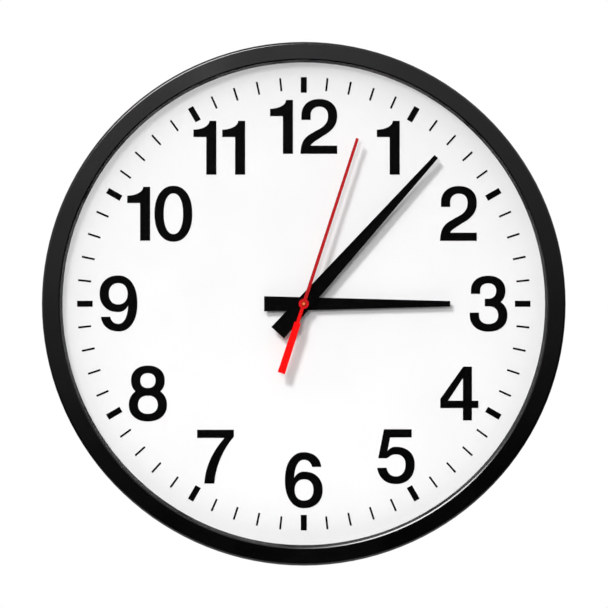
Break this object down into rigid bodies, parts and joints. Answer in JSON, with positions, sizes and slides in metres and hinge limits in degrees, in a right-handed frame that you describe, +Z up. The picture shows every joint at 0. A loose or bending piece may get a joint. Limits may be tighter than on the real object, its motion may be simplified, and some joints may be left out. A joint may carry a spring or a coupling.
{
  "type": "synchronized wall clock",
  "caption": "Round drum-cased wall clock with a plain numbered dial, three geared hands, a two-motor movement, a hinged battery door and a keyhole hanger.",
  "frame": {"origin": "where the hands' axis meets the wall plane, in the middle of the flat back", "axes": "+Z up towards 12, +X right towards 3 as seen from the front, front faces -Y, wall behind at +Y"},
  "size_m": [0.33, 0.05, 0.33],
  "materials": {
    "case_abs": "moulded, satin",
    "lens_clear": "clear, polished",
    "seal_foam": "matt",
    "dial_paint": "satin white",
    "dial_ink": "printed, satin",
    "hand_black": "satin black",
    "hand_red": "satin red",
    "steel": "zinc plated",
    "spring_steel": "nickel plated",
    "cell_wrap": "shrink sleeve",
    "movement_grey": "moulded",
    "gear_white": "moulded acetal",
    "board_green": "solder mask",
    "chip_black": "moulded",
    "copper": "enamelled wire",
    "brass": "turned",
    "ferrite": "sintered",
    "wire_sheath": "extruded"
  },
  "bodies": {
    "case": {"front_frame": "case_abs", "lens": "lens_clear", "lens_seal": "seal_foam", "dial_spacer": "case_abs", "dial": "dial_paint", "dial_numerals": "dial_ink", "dial_hour_marks": "dial_ink", "dial_minute_marks": "dial_ink", "rear_case": "case_abs", "case_screws": "steel", "hanger_plate": "steel", "hanger_rivets": "steel", "door_hinge_pin": "steel", "battery_cell_1": "cell_wrap", "battery_cell_2": "cell_wrap", "battery_springs": "spring_steel", "battery_contacts": "spring_steel", "battery_leads": "wire_sheath", "movement_base": "movement_grey", "middle_plate": "movement_grey", "movement_cover": "movement_grey", "movement_screws": "steel", "circuit_board": "board_green", "control_chip": "chip_black", "receiver_can": "steel", "quartz_crystal": "steel", "antenna_rod": "ferrite", "antenna_coil": "copper", "antenna_leads": "copper", "tact_switch": "chip_black", "seconds_coil": "copper", "seconds_stator": "steel", "minutes_coil": "copper", "minutes_stator": "steel"},
    "battery_door": {"battery_door": "case_abs"},
    "sync_button": {"sync_button": "case_abs", "switch_plunger": "chip_black"},
    "second_hand": {"second_hand": "hand_red", "second_bush": "brass", "seconds_wheel": "gear_white"},
    "seconds_idler": {"seconds_idler": "gear_white"},
    "seconds_rotor": {"seconds_rotor": "gear_white"},
    "minute_hand": {"minute_hand": "hand_black", "centre_wheel": "gear_white"},
    "third_wheel": {"third_wheel": "gear_white"},
    "minutes_idler": {"minutes_idler": "gear_white"},
    "minutes_rotor": {"minutes_rotor": "gear_white"},
    "motion_wheel": {"motion_wheel": "gear_white"},
    "hour_hand": {"hour_hand": "hand_black", "hour_wheel": "gear_white"}
  },
  "joints": [
    {"name": "second_spin", "type": "hinge", "parent": "case", "child": "second_hand", "pos_m": [0, -0.015, 0], "axis": [0, 1, 0], "continuous": true},
    {"name": "seconds_idler_spin", "type": "hinge", "parent": "case", "child": "seconds_idler", "pos_m": [-0.01088, -0.015, -0.00507], "axis": [0, 1, 0], "continuous": true},
    {"name": "seconds_rotor_spin", "type": "hinge", "parent": "case", "child": "seconds_rotor", "pos_m": [-0.02074, -0.015, -0.00148], "axis": [0, 1, 0], "continuous": true},
    {"name": "minute_spin", "type": "hinge", "parent": "case", "child": "minute_hand", "pos_m": [0, -0.015, 0], "axis": [0, 1, 0], "continuous": true},
    {"name": "third_wheel_spin", "type": "hinge", "parent": "case", "child": "third_wheel", "pos_m": [0.01316, -0.015, 0.00479], "axis": [0, 1, 0], "continuous": true},
    {"name": "minutes_idler_spin", "type": "hinge", "parent": "case", "child": "minutes_idler", "pos_m": [0.0235, -0.015, 0.00297], "axis": [0, 1, 0], "continuous": true},
    {"name": "minutes_rotor_spin", "type": "hinge", "parent": "case", "child": "minutes_rotor", "pos_m": [0.02532, -0.015, -0.00738], "axis": [0, 1, 0], "continuous": true},
    {"name": "motion_wheel_spin", "type": "hinge", "parent": "case", "child": "motion_wheel", "pos_m": [-0.00451, -0.015, 0.0124], "axis": [0, 1, 0], "continuous": true},
    {"name": "hour_spin", "type": "hinge", "parent": "case", "child": "hour_hand", "pos_m": [0, -0.015, 0], "axis": [0, 1, 0], "continuous": true},
    {"name": "battery_door_hinge", "type": "hinge", "parent": "case", "child": "battery_door", "pos_m": [0, -0.0021, -0.07745], "axis": [-1, 0, 0], "range_deg": [0, 110]},
    {"name": "sync_button_press", "type": "slide", "parent": "case", "child": "sync_button", "axis": [0, -1, 0], "range_m": [0, 0.0005], "stiffness_N_per_m": 600, "springref_m": -0.0003}
  ],
  "couplings": [
    {"joint": "seconds_idler_spin", "follows": "second_spin", "ratio": -5},
    {"joint": "seconds_rotor_spin", "follows": "second_spin", "ratio": 30},
    {"joint": "third_wheel_spin", "follows": "minute_spin", "ratio": -6},
    {"joint": "minutes_idler_spin", "follows": "minute_spin", "ratio": 30},
    {"joint": "minutes_rotor_spin", "follows": "minute_spin", "ratio": -180},
    {"joint": "motion_wheel_spin", "follows": "minute_spin", "ratio": -0.33333},
    {"joint": "hour_spin", "follows": "minute_spin", "ratio": 0.083333}
  ]
}
